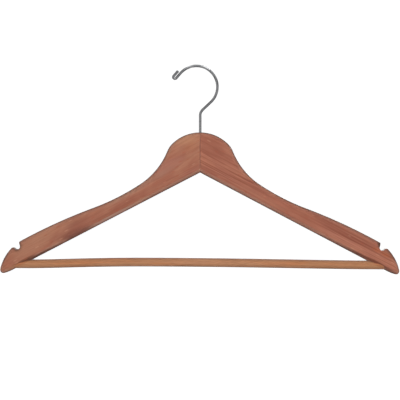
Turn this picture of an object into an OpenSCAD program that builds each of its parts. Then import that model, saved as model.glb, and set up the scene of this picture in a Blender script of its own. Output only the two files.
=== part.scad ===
// Wooden suit hanger: two profiled arms glued at the centre, a round trouser bar between
// their feet and a swivelling wire hook.
// Millimetres. The origin is the point inside the hook, on the swivel axis, that bears on the
// rail. +Z is up, +X runs along the shoulders and -Y is the front.

/* [Arms] */
// Overall width, tip to tip
hanger_w = 432; // [420:1:440]
// Thickness of the boards that the arms are cut from
board_t = 10.5; // [10:0.5:13]
// Radius of the rounded edges, up to half the board
edge_r = 4.9; // [3:0.1:4.9]
// Distance from the rail down to the crown
crown_drop = 70; // [66:0.2:76]
// Height of the centre joint, crown to underside
joint_h = 43.6; // [40:0.1:48]
// Slope of the straight undersides
arm_slope = 27.6; // [26.6:0.1:28.6]
// Thickness of the glue line at the centre joint
glue_gap = 0.1; // [0.05:0.05:0.3]

/* [Shoulder line] */
// Radius of the crown
crown_r = 43; // [42:1:48]
// Direction that the crown's arc ends in, as its outward normal's angle
crown_end = 45.5; // [43:0.5:47]
// Radius of the cheek below the crown
cheek_r = 24; // [20:1:28]
// Outward normal's angle where the cheek ends
cheek_end = 22; // [20:0.5:24]
// Radius of the neck's hollow
neck_r = 78; // [74:1:82]
// Outward normal's angle where the tight part of the neck ends
neck_end = 56.5; // [55:0.5:60]
// Radius of the long hollow between neck and shoulder
reach_r = 250; // [230:5:270]
// Outward normal's angle where the long hollow ends
reach_end = 69.5; // [68.5:0.5:70]
// Radius of the shoulder
shoulder_r = 600; // [560:10:640]
// Radius of the nose past the notch
nose_r = 47; // [44:1:50]
// Outward normal's angle where the nose meets the tip
nose_end = 12; // [10:0.5:14]
// Radius of the tip's lower corner
tip_r = 3.6; // [3:0.1:4.2]
// Radius of the foot under the tip
foot_r = 40; // [30:1:50]

/* [Strap notches] */
// Radius of a notch's round end
notch_r = 3.15; // [2.5:0.05:3.5]
// Distance from the tip of the arm to the round end's centre
notch_inset = 18.8; // [17:0.1:20]
// Height of the round end's centre above the bar's axis
notch_rise = 18.8; // [17:0.1:20]
// Lean of the inner wall, which overhangs the round end
inner_lean = 16; // [0:1:20]
// Lean of the outer wall, which opens the mouth
outer_lean = 52; // [40:1:60]
// Length of the outer wall up to its rounded lip
outer_wall_l = 2; // [1.5:0.1:2.5]
// Radius of the outer wall's lip
lip_r = 1.3; // [1:0.1:1.6]

/* [Trouser bar] */
// Diameter of the bar
bar_d = 9.6; // [8:0.1:9.8]
// Distance from the tip to where the bar's axis meets the underside
bar_inset = 26; // [25:0.5:28]
// Rise of the bar's natural bow above its ends
bar_bow = 2.3; // [0:0.1:3]
// Distance of the bow's highest point from the middle, to the left when negative
bar_bow_at = -60; // [-80:5:80]
// Distance from the tip to the end of the bar
bar_end_inset = 12.5; // [12:0.5:14]
// Clearance of the bar's sockets, on the radius and at the end
socket_gap = 0.1; // [0.05:0.05:0.3]
// Diameter of the brads that hold the bar
brad_d = 1.2; // [1:0.1:1.6]
// Diameter of a brad's head
brad_head_d = 2.2; // [2:0.1:2.6]
// Length of a brad
brad_l = 9; // [7:0.5:9]
// Distance from the tip to a brad
brad_inset = 18.5; // [17:0.5:20]

/* [Hook] */
// Diameter of the hook's wire
wire_d = 3; // [2.6:0.1:3.4]
// Inner radius of the hook's round part
hook_in_r = 21.2; // [19:0.2:24]
// Offset of the round part's centre from the swivel axis
hook_offset = 4.2; // [3:0.1:5]
// Angle of the straight between the round part and the shank, off vertical
neck_angle = 46.6; // [44:0.2:50]
// Radius of the bend into the shank, to the middle of the wire
shank_bend_r = 8.5; // [7:0.5:10]
// Angle at which the round part ends, past the top
hook_end = 139; // [130:1:145]
// Length of the straight that leads into the mouth
lead_l = 7.3; // [5:0.1:10]
// Radius of the turned-back end, to the middle of the wire
curl_r = 1.8; // [1.6:0.1:2.2]
// Length of the turned-back end
curl_l = 7.4; // [6:0.1:9]

/* [Swivel] */
// Diameter of the bush
bush_d = 7; // [6:0.1:7.4]
// Length of the bush
bush_l = 14; // [10:0.5:14]
// Depth of the bush's top below the crown
bush_depth = 4; // [3:0.5:5]
// Running clearance of the shank in the bush, on the radius
swivel_gap = 0.06; // [0.02:0.01:0.1]
// Diameter of the washer under the bush
washer_d = 7.6; // [7:0.1:8]
// Thickness of the washer
washer_t = 0.8; // [0.6:0.1:1]
// Diameter of the shank's upset head
head_d = 5.4; // [4.6:0.1:6]
// Height of the shank's upset head
head_h = 2.2; // [1.6:0.1:2.4]

/* [Centre joint] */
// Diameter of the dowels
dowel_d = 6; // [5:0.5:6]
// Length of the dowels
dowel_l = 30; // [24:1:36]
// Distance from the underside up to the lower dowel
lower_dowel_rise = 7.6; // [6.6:0.1:8]
// Distance between the dowels
dowel_pitch = 8; // [7:0.5:8]

/* [Hidden] */
$fn = 96;

LEFT = -1;
RIGHT = 1;
CEDAR_LEFT = "#a86f57";
CEDAR_RIGHT = "#a1664f";
LIGHT_WOOD = "#b98258";
DOWEL_WOOD = "#c9a77c";
WIRE = "#8c8c8c";
BRASS = "#b08d57";
STEEL = "#9a9a9a";

// Rounded edges: number of facets across each quarter round
edge_steps = 5;
// Smallest corner radius that an inset outline keeps
crease_r = 0.15;
corner_steps = 6;
foot_steps = 9;
// Overlap of a cutter past the surface that it opens
cut = 1;
// Outward normal's angle where a notch's lip runs out, and the cutter's length past the notch
lip_end = 80;
notch_reach = 12;

half_w = hanger_w / 2;
half_t = board_t / 2;
crown_z = -crown_drop;
apex_z = crown_z - joint_h;
seam_x = glue_gap / 2;

// Centres of the outline's arcs, each found from the last so that they meet in tangents
function unit(a) = [cos(a), sin(a)];
crown_c = [0, crown_z - crown_r];
cheek_c = crown_c + (crown_r - cheek_r) * unit(crown_end);
neck_c = cheek_c + (cheek_r + neck_r) * unit(cheek_end);
reach_c = neck_c + (reach_r - neck_r) * unit(neck_end);
shoulder_c = reach_c - (reach_r + shoulder_r) * unit(reach_end);
// The shoulder ends where the nose's arc, tangent to it, reaches the overall width
nose_x = half_w - tip_r - (nose_r - tip_r) * cos(nose_end);
shoulder_end = acos((nose_x - shoulder_c[0]) / (shoulder_r - nose_r));
nose_c = shoulder_c + (shoulder_r - nose_r) * unit(shoulder_end);

// The foot's circle touches the underside and, from inside, the tip's circle
under_n = unit(-90 - arm_slope);
under_dist = apex_z * under_n[1];
tip_c = nose_c + (nose_r - tip_r) * unit(nose_end);
tip_depth = under_dist - tip_c * under_n;
foot_back = sqrt(pow(foot_r - tip_r, 2) - pow(foot_r - tip_depth, 2));
foot_c = tip_c - (foot_r - tip_depth) * under_n - foot_back * unit(-arm_slope);

// Trouser bar and its fastenings
bar_z = apex_z - (half_w - bar_inset) * tan(arm_slope);
bar_end = half_w - bar_end_inset;
// The bar is straight from its end to this distance past the underside
bar_straight = half_w - bar_inset - bar_d;
bar_steps = 24;
bar_sides = 32;
brad_x = half_w - brad_inset;
brad_head_t = 0.6;

// Hook
wire_r = wire_d / 2;
straight_r = wire_r + 0.02;
lap = 0.05;
hook_r = hook_in_r + wire_r;
hook_c = [-hook_offset, -sqrt(pow(hook_in_r, 2) - pow(hook_offset, 2))];
// The straight leaves the round part on the lower right and meets the shank's bend
neck_start = hook_c + hook_r * unit(-neck_angle);
neck_slide = unit(-90 - neck_angle);
bend_reach = shank_bend_r * (1 - cos(neck_angle));
neck_l = (neck_start[0] - bend_reach) / sin(neck_angle);
bend_start = neck_start + neck_l * neck_slide;
bend_z = bend_start[1] - shank_bend_r * sin(neck_angle);
lead_start = hook_c + hook_r * unit(hook_end);
lead_dir = unit(hook_end + 90);
lead_tip = lead_start + lead_l * lead_dir;
curl_c = lead_tip + curl_r * unit(hook_end);

// Swivel, from the crown down
bush_top = crown_z - bush_depth;
bush_bottom = bush_top - bush_l;
end_play = 0.1;
washer_top = bush_bottom - end_play;
head_top = washer_top - washer_t;
head_bottom = head_top - head_h;
room = 0.5;
shank_hole_r = straight_r + room;
press_gap = 0.03;

lower_dowel_z = apex_z + lower_dowel_rise;
upper_dowel_z = lower_dowel_z + dowel_pitch;

// Points along an arc, both ends included
function arc(c, r, from, to, steps) =
    [for (i = [0:steps]) c + r * unit(from + (to - from) * i / steps)];

// Where two circles cross, on the right of the line from the first centre to the second
function meet(c1, r1, c2, r2) =
    let (
        gap = c2 - c1,
        d = norm(gap),
        along = (d * d + r1 * r1 - r2 * r2) / (2 * d),
        off = sqrt(max(0, r1 * r1 - along * along)),
        dir = gap / d
    )
    c1 + along * dir + off * [dir[1], -dir[0]];

function angle_of(v) = atan2(v[1], v[0]);

// The arm's upper edge at an inset, from the centre joint over the crown and out to the tip
function upper_edge(inset, nose_to) = concat(
    arc(crown_c, crown_r - inset, acos(seam_x / (crown_r - inset)), crown_end, 8),
    tail(arc(cheek_c, cheek_r - inset, crown_end, cheek_end, 5)),
    tail(arc(neck_c, neck_r + inset, cheek_end + 180, neck_end + 180, 8)),
    tail(arc(reach_c, reach_r + inset, neck_end + 180, reach_end + 180, 5)),
    tail(arc(shoulder_c, shoulder_r - inset, reach_end, shoulder_end, 7)),
    tail(arc(nose_c, nose_r - inset, shoulder_end, nose_to, 8))
);

// The whole outline at an inset: the upper edge, the tip's corner, the foot, and back along the
// underside with one point below each point of the upper edge.
// A corner too tight for the inset keeps a small radius, so the rounded edges meet in a crease.
function outline(inset) =
    let (
        q = max(tip_r, inset + crease_r),
        corner_c = meet(nose_c, nose_r - q, foot_c, foot_r - q),
        nose_to = angle_of(corner_c - nose_c),
        foot_from = angle_of(corner_c - foot_c),
        upper = upper_edge(inset, nose_to),
        last = len(upper) - 1,
        under_end = foot_c + (foot_r - inset) * under_n,
        shrink = (under_end[0] - seam_x) / (upper[last][0] - seam_x)
    )
    concat(
        upper,
        tail(arc(corner_c, q - inset, nose_to, foot_from, corner_steps)),
        tail(arc(foot_c, foot_r - inset, foot_from, -90 - arm_slope, foot_steps)),
        [for (i = [last - 1:-1:0])
            let (x = seam_x + (upper[i][0] - seam_x) * shrink)
            [x, under_end[1] + (under_end[0] - x) * tan(arm_slope)]]
    );

function tail(points) = [for (i = [1:len(points) - 1]) points[i]];

// Triangles over a flat outline of that many points: a fan at the tip, then rungs from the upper
// edge to the underside
function outline_face(sides) =
    let (
        round_tip = corner_steps + foot_steps,
        last = (sides - 1 - round_tip) / 2,
        opposite = function (i) 2 * last + round_tip - i
    )
    concat(
        [for (k = [1:round_tip]) [last, last + k - 1, last + k]],
        [for (i = [1:last]) [i - 1, i, opposite(i)]],
        [for (i = [1:last]) [i - 1, opposite(i), opposite(i - 1)]]
    );

// Triangles over a convex outline of that many points
function fan(sides) = [for (k = [1:sides - 2]) [0, k, k + 1]];

// Side walls of a stack of rings with equal numbers of points, closed by a face at each end
function skin(rings, sides, face) = concat(
    face,
    [for (k = [0:rings - 2], i = [0:sides - 1])
        let (j = (i + 1) % sides) [k * sides + i, (k + 1) * sides + i, k * sides + j]],
    [for (k = [0:rings - 2], i = [0:sides - 1])
        let (j = (i + 1) % sides) [k * sides + j, (k + 1) * sides + i, (k + 1) * sides + j]],
    [for (t = face) [t[2], t[1], t[0]] + (rings - 1) * sides * [1, 1, 1]]
);

// Solid arm on the right, with all its edges rounded
module arm_blank() {
    // Each ring is [depth, inset], from the front face round to the back face
    front = [for (i = [0:edge_steps]) let (a = 90 - 90 * i / edge_steps)
        [-half_t + edge_r - edge_r * sin(a), edge_r - edge_r * cos(a)]];
    back = [for (i = [edge_steps:-1:0]) [-front[i][0], front[i][1]]];
    rings = concat(front, back);
    outlines = [for (r = rings) outline(r[1])];
    sides = len(outlines[0]);
    polyhedron(
        points = [for (k = [0:len(rings) - 1], p = outlines[k]) [p[0], rings[k][0], p[1]]],
        faces = skin(len(rings), sides, outline_face(sides)),
        convexity = 6
    );
}

// Notch right through the board: a round end, a wall leaning over it on the inside, and on the
// outside a flatter wall that rounds over into a nearly level lip
module notch_cutter() {
    end_c = [half_w - notch_inset, bar_z + notch_rise];
    wall_foot = end_c + notch_r * unit(-outer_lean);
    lip_c = wall_foot + outer_wall_l * unit(90 - outer_lean) + lip_r * unit(-outer_lean);
    inner_top = end_c + notch_r * unit(180 - inner_lean) + notch_reach * unit(90 - inner_lean);
    outer_top = lip_c + lip_r * unit(lip_end) + notch_reach * unit(lip_end - 90);
    rotate([90, 0, 0])
        linear_extrude(board_t + 2 * cut, center = true)
            polygon(concat(
                [inner_top],
                arc(end_c, notch_r, 180 - inner_lean, 360 - outer_lean, 24),
                arc(lip_c, lip_r, 180 - outer_lean, lip_end, 6),
                [outer_top, [outer_top[0], inner_top[1]]]
            ));
}

// Stepped hollow for the hook's shank, bush, washer and head
module swivel_hollow() {
    translate([0, 0, bush_bottom])
        cylinder(h = bush_l, d = bush_d + 2 * press_gap);
    translate([0, 0, bush_top - cut])
        cylinder(h = bush_depth + 2 * cut, r = shank_hole_r);
    translate([0, 0, head_bottom - room])
        cylinder(h = bush_bottom - head_bottom + room, d = washer_d + 2 * room);
}

module dowel_hole(z) {
    translate([0, 0, z])
        rotate([0, 90, 0])
            cylinder(h = dowel_l + 2 * socket_gap, d = dowel_d + 2 * socket_gap, center = true);
}

module brad_hole() {
    translate([brad_x, half_t + cut, bar_z])
        rotate([90, 0, 0])
            cylinder(h = brad_l + cut, d = brad_d);
    translate([brad_x, half_t + cut, bar_z])
        rotate([90, 0, 0])
            cylinder(h = brad_head_t + cut, d = brad_head_d);
}

module right_arm_shape() {
    difference() {
        arm_blank();
        notch_cutter();
        swivel_hollow();
        dowel_hole(upper_dowel_z);
        dowel_hole(lower_dowel_z);
        translate([bar_straight - cut, 0, bar_z])
            rotate([0, 90, 0])
                cylinder(h = bar_end + socket_gap - bar_straight + cut, d = bar_d + 2 * socket_gap);
        brad_hole();
    }
}

module left_arm() {
    color(CEDAR_LEFT) mirror([1, 0, 0]) right_arm_shape();
}

module right_arm() {
    color(CEDAR_RIGHT) right_arm_shape();
}

module dowel(z) {
    color(DOWEL_WOOD)
        translate([0, 0, z])
            rotate([0, 90, 0])
                cylinder(h = dowel_l, d = dowel_d, center = true);
}

module upper_dowel() { dowel(upper_dowel_z); }

module lower_dowel() { dowel(lower_dowel_z); }

// Height of the bar's bow above its ends: level at its peak and where it enters the arms
function rise(x) =
    let (span = bar_straight + sign(x - bar_bow_at) * -bar_bow_at)
    bar_bow * pow(max(0, 1 - pow((x - bar_bow_at) / span, 2)), 1.5);

module bar_blank() {
    middle = [for (i = [0:bar_steps]) bar_straight * (2 * i / bar_steps - 1)];
    stations = concat([-bar_end], middle, [bar_end]);
    polyhedron(
        points = [for (x = stations, k = [0:bar_sides - 1])
            let (a = 360 * k / bar_sides)
            [x, bar_d / 2 * cos(a), bar_z + rise(x) + bar_d / 2 * sin(a)]],
        faces = skin(len(stations), bar_sides, fan(bar_sides)),
        convexity = 2
    );
}

module trouser_bar() {
    color(LIGHT_WOOD)
        difference() {
            bar_blank();
            brad_hole();
            mirror([1, 0, 0]) brad_hole();
        }
}

module brad(side) {
    color(STEEL) {
        translate([side * brad_x, half_t, bar_z])
            rotate([90, 0, 0])
                cylinder(h = brad_l, d = brad_d);
        translate([side * brad_x, half_t, bar_z])
            rotate([90, 0, 0])
                cylinder(h = brad_head_t, d = brad_head_d);
    }
}

module left_bar_brad() { brad(LEFT); }

module right_bar_brad() { brad(RIGHT); }

module swivel_bush() {
    color(BRASS)
        difference() {
            translate([0, 0, bush_bottom])
                cylinder(h = bush_l, d = bush_d);
            translate([0, 0, bush_bottom - cut])
                cylinder(h = bush_l + 2 * cut, r = straight_r + swivel_gap);
        }
}

module swivel_washer() {
    color(BRASS)
        difference() {
            translate([0, 0, head_top])
                cylinder(h = washer_t, d = washer_d);
            translate([0, 0, head_top - cut])
                cylinder(h = washer_t + 2 * cut, r = straight_r + swivel_gap);
        }
}

// Wire bent in the XZ plane about a centre, from one angle to another
module wire_arc(c, r, from, to) {
    translate([c[0], 0, c[1]])
        rotate([90, 0, 0])
            rotate([0, 0, from])
                rotate_extrude(angle = to - from)
                    translate([r, 0])
                        circle(r = wire_r);
}

// Straight wire in the XZ plane from a point, in a direction given by its angle from +X.
// It is a hair fatter than the bends and laps over their ends.
module wire_straight(from, angle, length) {
    translate([from[0], 0, from[1]])
        rotate([0, 90 - angle, 0])
            translate([0, 0, -lap])
                cylinder(h = length + 2 * lap, r = straight_r);
}

module hook_wire() {
    color(WIRE) {
        wire_arc(hook_c, hook_r, -neck_angle, hook_end);
        wire_straight(neck_start, -90 - neck_angle, neck_l);
        wire_arc([shank_bend_r, bend_z], shank_bend_r, 180 - neck_angle, 180);
        wire_straight([0, head_bottom + lap], 90, bend_z - head_bottom - lap);
        translate([0, 0, head_bottom])
            cylinder(h = head_h, d = head_d);
        wire_straight(lead_start, hook_end + 90, lead_l);
        wire_arc(curl_c, curl_r, hook_end, hook_end + 180);
        wire_straight(curl_c + curl_r * unit(hook_end), hook_end - 90, curl_l);
    }
}

left_arm();
right_arm();
upper_dowel();
lower_dowel();
trouser_bar();
left_bar_brad();
right_bar_brad();
swivel_bush();
swivel_washer();
hook_wire();
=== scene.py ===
"""The looks of the wooden suit hanger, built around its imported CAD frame.

Geometry functions work in millimetres, in the frame's own axes: the origin is the point inside
the hook that bears on the rail, +Z is up, +X runs along the shoulders and -Y is the front.
Every finished mesh is scaled to metres, which materials, lights and the camera use too.
"""

import math

import bpy
import numpy as np
from mathutils import Matrix, Vector


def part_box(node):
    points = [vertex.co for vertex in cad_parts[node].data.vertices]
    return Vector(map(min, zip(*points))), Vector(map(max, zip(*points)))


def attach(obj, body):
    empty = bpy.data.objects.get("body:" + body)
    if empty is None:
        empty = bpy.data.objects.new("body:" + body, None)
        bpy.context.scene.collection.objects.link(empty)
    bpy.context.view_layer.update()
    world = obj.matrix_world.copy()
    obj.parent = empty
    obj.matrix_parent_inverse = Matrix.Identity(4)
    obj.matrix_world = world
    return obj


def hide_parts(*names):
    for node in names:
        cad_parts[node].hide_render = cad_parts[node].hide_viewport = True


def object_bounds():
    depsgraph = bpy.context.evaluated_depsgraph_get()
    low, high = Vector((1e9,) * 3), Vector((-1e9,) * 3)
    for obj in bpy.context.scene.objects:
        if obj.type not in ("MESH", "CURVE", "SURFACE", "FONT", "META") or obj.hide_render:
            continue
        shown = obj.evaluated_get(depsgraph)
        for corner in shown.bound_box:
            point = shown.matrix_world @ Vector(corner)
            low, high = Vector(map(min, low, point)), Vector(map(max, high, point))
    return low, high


MM = 0.001
FRONT = Vector((0, -1, 0))

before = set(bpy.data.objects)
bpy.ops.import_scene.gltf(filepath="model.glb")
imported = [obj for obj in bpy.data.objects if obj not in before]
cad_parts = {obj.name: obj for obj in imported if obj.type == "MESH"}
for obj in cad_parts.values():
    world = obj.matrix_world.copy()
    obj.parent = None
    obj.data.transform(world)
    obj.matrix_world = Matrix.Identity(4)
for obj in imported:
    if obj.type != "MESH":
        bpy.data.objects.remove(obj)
cad_low, cad_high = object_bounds()


def box_mm(node):
    """The lowest and highest corners of a CAD node, in millimetres."""
    low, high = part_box(node)
    return low / MM, high / MM


# ---- Design values of the frame, most of them the same as in the CAD source ----

_, arm_high = box_mm("right_arm")
_, bar_high = box_mm("trouser_bar")

# The arms: half the hanger's width and thickness, where the centre joint's face and the crown's top
# lie, the round on the edges, the joint's height, the underside's slope, and the tip's least radius
HALF_W = arm_high.x
HALF_T = arm_high.y
SEAM_X = 0.002
CROWN_Z = -70
EDGE_R = 4.9
JOINT_H = 43.6
ARM_SLOPE = 27.6
CREASE_R = 0.15

# Arcs of the shoulder line: radius, and the angle of the outward normal where each one ends
CROWN_R, CROWN_END = 43, 45.5
CHEEK_R, CHEEK_END = 24, 22
NECK_R, NECK_END = 78, 56.5
REACH_R, REACH_END = 250, 69.5
SHOULDER_R = 600
NOSE_R, NOSE_END = 47, 12
TIP_R = 3.6
FOOT_R = 40

# The notch: its round end and how far that lies in from the tip and above the bar, how far its
# walls lean from upright, the outer wall's length, its lip, and the round on its edges
NOTCH_R = 3.15
NOTCH_INSET = 18.8
NOTCH_RISE = 18.8
INNER_LEAN = 16
OUTER_LEAN = 52
OUTER_WALL_L = 2
LIP_R = 1.3
LIP_END = 80
NOTCH_EDGE_R = 0.6

# The bar: its radius and end, how far in from the tip its middle line leaves the underside, how
# high it bows and where it is highest, and the room round it in its sockets
BAR_R = bar_high.y
BAR_END = bar_high.x
BAR_INSET = 26
BAR_BOW = 2.3
BAR_BOW_AT = -60
SOCKET_GAP = 0.15

# The room round the dowels, the hole for a brad's shank, and the thickness of its head
DOWEL_GAP = 0.1
BRAD_HOLE_R = 0.6
BRAD_HEAD_T = 0.6

# A hair less than the CAD wire's 1.5, whose facets cut a little off its round
WIRE_R = 1.488
BORE_R = 1.58
# The shank's upset head, under the washer: its height and radius
HEAD_H, HEAD_R = 2.2, 2.7


def unit(angle):
    """The direction at an angle in degrees, in the XZ plane."""
    return np.array([math.cos(math.radians(angle)), math.sin(math.radians(angle))])


# ---- The arm's outline: tangent arcs, as in the CAD design ----

apex_z = CROWN_Z - JOINT_H
crown_c = np.array([0, CROWN_Z - CROWN_R])
cheek_c = crown_c + (CROWN_R - CHEEK_R) * unit(CROWN_END)
neck_c = cheek_c + (CHEEK_R + NECK_R) * unit(CHEEK_END)
reach_c = neck_c + (REACH_R - NECK_R) * unit(NECK_END)
shoulder_c = reach_c - (REACH_R + SHOULDER_R) * unit(REACH_END)
nose_x = HALF_W - TIP_R - (NOSE_R - TIP_R) * unit(NOSE_END)[0]
SHOULDER_END = math.degrees(math.acos((nose_x - shoulder_c[0]) / (SHOULDER_R - NOSE_R)))
nose_c = shoulder_c + (SHOULDER_R - NOSE_R) * unit(SHOULDER_END)

# The underside's outward direction and its slope, then the foot's arc between it and the tip
under_n = unit(-90 - ARM_SLOPE)
under_slope = math.tan(math.radians(ARM_SLOPE))
tip_c = nose_c + (NOSE_R - TIP_R) * unit(NOSE_END)
tip_depth = apex_z * under_n[1] - tip_c @ under_n
foot_back = math.sqrt((FOOT_R - TIP_R) ** 2 - (FOOT_R - tip_depth) ** 2)
foot_c = tip_c - (FOOT_R - tip_depth) * under_n - foot_back * unit(-ARM_SLOPE)

# The bar's middle line, and how far out its bow runs before it is straight in its socket
bar_z = apex_z - (HALF_W - BAR_INSET) * under_slope
bar_straight = HALF_W - BAR_INSET - 2 * BAR_R

# Steps round each arc
CROWN_STEPS, CHEEK_STEPS, NECK_STEPS, REACH_STEPS = 16, 10, 26, 20
SHOULDER_STEPS, NOSE_STEPS = 34, 26
CORNER_STEPS, FOOT_STEPS = 10, 12


def arc(centre, radius, start, end, steps):
    """Points along an arc, both ends included."""
    return [centre + radius * unit(start + (end - start) * i / steps) for i in range(steps + 1)]


def angle_of(v):
    """The angle of a direction in the XZ plane, in degrees."""
    return math.degrees(math.atan2(v[1], v[0]))


def meet(c1, r1, c2, r2):
    """Where two circles cross, on the right of the line between their centres."""
    gap = c2 - c1
    d = np.linalg.norm(gap)
    along = (d * d + r1 * r1 - r2 * r2) / (2 * d)
    off = math.sqrt(max(0, r1 * r1 - along * along))
    toward = gap / d
    return c1 + along * toward + off * np.array([toward[1], -toward[0]])


def upper_edge(inset, nose_to, seam):
    """The arm's upper edge at an inset, from the centre joint over the crown to the tip."""
    start = math.degrees(math.acos(seam / (CROWN_R - inset)))
    return (
        arc(crown_c, CROWN_R - inset, start, CROWN_END, CROWN_STEPS)
        + arc(cheek_c, CHEEK_R - inset, CROWN_END, CHEEK_END, CHEEK_STEPS)[1:]
        + arc(neck_c, NECK_R + inset, CHEEK_END + 180, NECK_END + 180, NECK_STEPS)[1:]
        + arc(reach_c, REACH_R + inset, NECK_END + 180, REACH_END + 180, REACH_STEPS)[1:]
        + arc(shoulder_c, SHOULDER_R - inset, REACH_END, SHOULDER_END, SHOULDER_STEPS)[1:]
        + arc(nose_c, NOSE_R - inset, SHOULDER_END, nose_to, NOSE_STEPS)[1:]
    )


def outline(inset, seam):
    """The whole outline at an inset: upper edge, tip, foot, and back along the underside.

    The tip keeps a radius of at least CREASE_R, however deep the inset. The underside has as many
    points as the upper edge, so that quads can join the two.
    """
    corner_r = max(TIP_R, inset + CREASE_R)
    corner_c = meet(nose_c, NOSE_R - corner_r, foot_c, FOOT_R - corner_r)
    nose_to = angle_of(corner_c - nose_c)
    foot_from = angle_of(corner_c - foot_c)
    upper = upper_edge(inset, nose_to, seam)
    under_end = foot_c + (FOOT_R - inset) * under_n
    shrink = (under_end[0] - seam) / (upper[-1][0] - seam)
    under_x = [seam + (p[0] - seam) * shrink for p in upper[-2::-1]]
    return (
        upper
        + arc(corner_c, corner_r - inset, nose_to, foot_from, CORNER_STEPS)[1:]
        + arc(foot_c, FOOT_R - inset, foot_from, -90 - ARM_SLOPE, FOOT_STEPS)[1:]
        + [np.array([x, under_end[1] + (under_end[0] - x) * under_slope]) for x in under_x]
    )


# ---- Mesh helpers ----

def full_turn(sides):
    """Angles spaced evenly round a circle, in radians."""
    return [2 * math.pi * i / sides for i in range(sides)]


def level_ring(radius, z, sides):
    """Points round the Z axis."""
    return [(radius * math.cos(t), radius * math.sin(t), z) for t in full_turn(sides)]


def new_object(name, points, faces):
    """An object with a mesh of its own, in the scene."""
    mesh = bpy.data.meshes.new(name)
    mesh.from_pydata([tuple(p) for p in points], [], faces)
    mesh.validate()
    obj = bpy.data.objects.new(name, mesh)
    bpy.context.scene.collection.objects.link(obj)
    return obj


def ring_walls(rings, sides):
    """Quads between each ring of points and the next."""
    faces = []
    for k in range(rings - 1):
        for i in range(sides):
            j = (i + 1) % sides
            a = k * sides
            b = a + sides
            faces.append((a + i, b + i, b + j, a + j))
    return faces


def loft(name, rings):
    """A closed solid through rings of points that all have the same number of points."""
    sides = len(rings[0])
    last = (len(rings) - 1) * sides
    faces = ring_walls(len(rings), sides)
    faces.append(tuple(range(sides)))
    faces.append(tuple(last + i for i in reversed(range(sides))))
    return outward(new_object(name, [p for ring in rings for p in ring], faces))


def outward(obj):
    """Turns a closed mesh's faces to look out."""
    mesh = obj.data
    volume = 0
    mesh.calc_loop_triangles()
    for t in mesh.loop_triangles:
        a, b, c = (mesh.vertices[i].co for i in t.vertices)
        volume += a.dot(b.cross(c))
    if volume < 0:
        mesh.flip_normals()
    return obj


def cut(obj, cutters):
    """Takes the cutters away from obj, and removes them."""
    for cutter in cutters:
        step = obj.modifiers.new("cut", "BOOLEAN")
        step.operation = "DIFFERENCE"
        step.solver = "EXACT"
        step.object = cutter
    graph = bpy.context.evaluated_depsgraph_get()
    result = bpy.data.meshes.new_from_object(obj.evaluated_get(graph))
    obj.modifiers.clear()
    obj.data = result
    for cutter in cutters:
        bpy.data.objects.remove(cutter)
    return obj


def mirrored(obj, name):
    """A copy of obj on the other side of the centre joint."""
    mesh = obj.data.copy()
    mesh.transform(Matrix.Scale(-1, 4, (1, 0, 0)))
    mesh.flip_normals()
    copy = bpy.data.objects.new(name, mesh)
    bpy.context.scene.collection.objects.link(copy)
    return copy


def turned(name, profile, centre, axis, sides):
    """A solid of revolution. profile is (distance along axis, radius) from one end to the other."""
    axis = Vector(axis)
    across = axis.orthogonal().normalized()
    other = axis.cross(across)
    rings = []
    for along, radius in profile:
        middle = Vector(centre) + axis * along
        ways = [across * math.cos(t) + other * math.sin(t) for t in full_turn(sides)]
        rings.append([middle + way * radius for way in ways])
    return loft(name, rings)


# Faces whose directions differ by more than this keep a sharp edge between them
SHARP = math.radians(32)


def finish_piece(obj, material, body, slot, *nodes):
    """Scales a piece to metres, shades it smooth up to sharp edges and ties it to the frame."""
    obj.data.transform(Matrix.Scale(MM, 4))
    obj.data.materials.clear()
    obj.data.materials.append(material)
    obj.data.shade_smooth()
    obj.data.set_sharp_from_angle(angle=SHARP)
    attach(obj, body)
    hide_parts(*nodes)
    return obj


# ---- The two arms ----

# Steps round the board's edge, rows of faces across it, and the depth of the vee at the centre joint
EDGE_STEPS = 12
FACE_ROWS = 8
SEAM_VEE = 0.22


def arm_blank():
    """The right arm before it is bored: rings from the front face round to the back face."""
    front = []
    for i in range(EDGE_STEPS + 1):
        a = math.radians(90 - 90 * i / EDGE_STEPS)
        front.append((-HALF_T + EDGE_R - EDGE_R * math.sin(a), EDGE_R - EDGE_R * math.cos(a)))
    stations = front + [(-y, inset) for y, inset in reversed(front)]
    points = []
    for y, inset in stations:
        seam = SEAM_X + max(0, SEAM_VEE - (HALF_T - abs(y)))
        points += [(p[0], y, p[1]) for p in outline(inset, seam)]
    sides = len(points) // len(stations)
    faces = ring_walls(len(stations), sides)
    for first, flip in ((0, False), (len(points) - sides, True)):
        faces += board_face(points, first, sides, flip)
    return outward(new_object("right_arm_cedar", points, faces))


def board_face(points, first, sides, flip):
    """Quads over a flat face, in rows from the upper edge to the underside, and one at the tip."""
    round_tip = CORNER_STEPS + FOOT_STEPS
    last = (sides - 1 - round_tip) // 2
    columns = []
    for i in range(last + 1):
        top = first + i
        bottom = first + 2 * last + round_tip - i
        high, low = np.array(points[top]), np.array(points[bottom])
        column = [top]
        for row in range(1, FACE_ROWS):
            column.append(len(points))
            points.append(tuple(high + (low - high) * row / FACE_ROWS))
        columns.append(column + [bottom])
    faces = []
    for left, right in zip(columns, columns[1:]):
        for row in range(FACE_ROWS):
            faces.append((left[row], right[row], right[row + 1], left[row + 1]))
    tip = list(range(first + last, first + last + round_tip + 1))
    faces.append(tuple(tip + columns[-1][-2:0:-1]))
    if flip:
        faces = [face[::-1] for face in faces]
    return faces


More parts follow.
